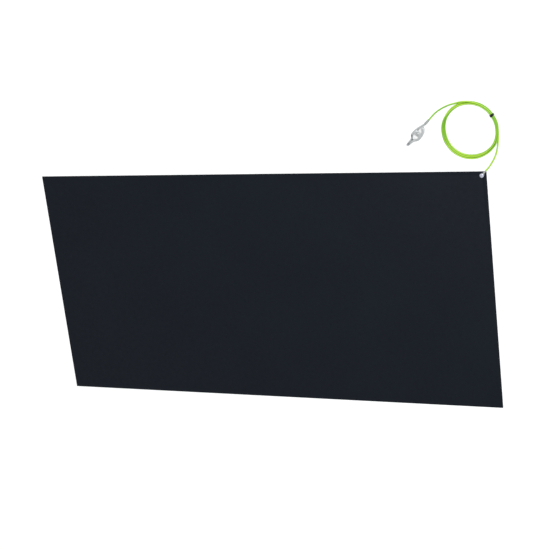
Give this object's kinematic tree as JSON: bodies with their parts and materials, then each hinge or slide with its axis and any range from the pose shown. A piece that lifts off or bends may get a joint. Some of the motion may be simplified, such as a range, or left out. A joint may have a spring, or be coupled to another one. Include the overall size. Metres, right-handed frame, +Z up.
{
  "type": "grounding mat",
  "caption": "Flat black static-dissipative bench mat with a corner press stud and a coiled earth lead that ends in a sprung crocodile clip.",
  "frame": {"origin": "on the floor under the middle of the mat's underside", "axes": "+X along the mat's long side, +Y along its short side towards the side where the lead lies, +Z up"},
  "size_m": [1.2381, 0.7693, 0.0131],
  "materials": {
    "mat_rubber": "matte",
    "carbon_scrim": "matte",
    "plated_steel": "satin",
    "snap_plating": "gloss",
    "spring_steel": "satin",
    "spring_bronze": "satin",
    "copper_strands": "satin",
    "earth_insulation": "satin",
    "grey_sleeve": "satin",
    "black_nylon": "satin"
  },
  "bodies": {
    "mat": {"base_layer": "mat_rubber", "conductive_layer": "carbon_scrim", "top_layer": "mat_rubber", "press_stud": "snap_plating", "stud_eyelet": "snap_plating", "cord_lead_in": "earth_insulation", "cord_coil": "earth_insulation", "cord_lead_out": "earth_insulation", "cable_tie": "black_nylon", "clip_sleeve": "grey_sleeve", "conductor_at_clip": "copper_strands", "clip_fixed_arm": "plated_steel", "clip_pivot_pin": "plated_steel", "clip_spring": "spring_steel"},
    "snap": {"snap_socket": "snap_plating", "socket_spring": "spring_bronze", "snap_cap": "snap_plating", "ring_terminal": "plated_steel", "conductor_at_snap": "copper_strands"},
    "clip_lever": {"clip_moving_arm": "plated_steel"}
  },
  "joints": [
    {"name": "snap_pull", "type": "slide", "parent": "mat", "child": "snap", "axis": [0, 0, 1], "range_m": [0, 0.006], "deforming": ["socket_spring"]},
    {"name": "clip_open", "type": "hinge", "parent": "mat", "child": "clip_lever", "pos_m": [0.4438, 0.3949, 0.0052], "axis": [0, 0, 1], "range_deg": [0, 15], "stiffness_Nm_per_rad": 0.15, "springref_deg": -45.84, "deforming": ["clip_spring"]}
  ]
}
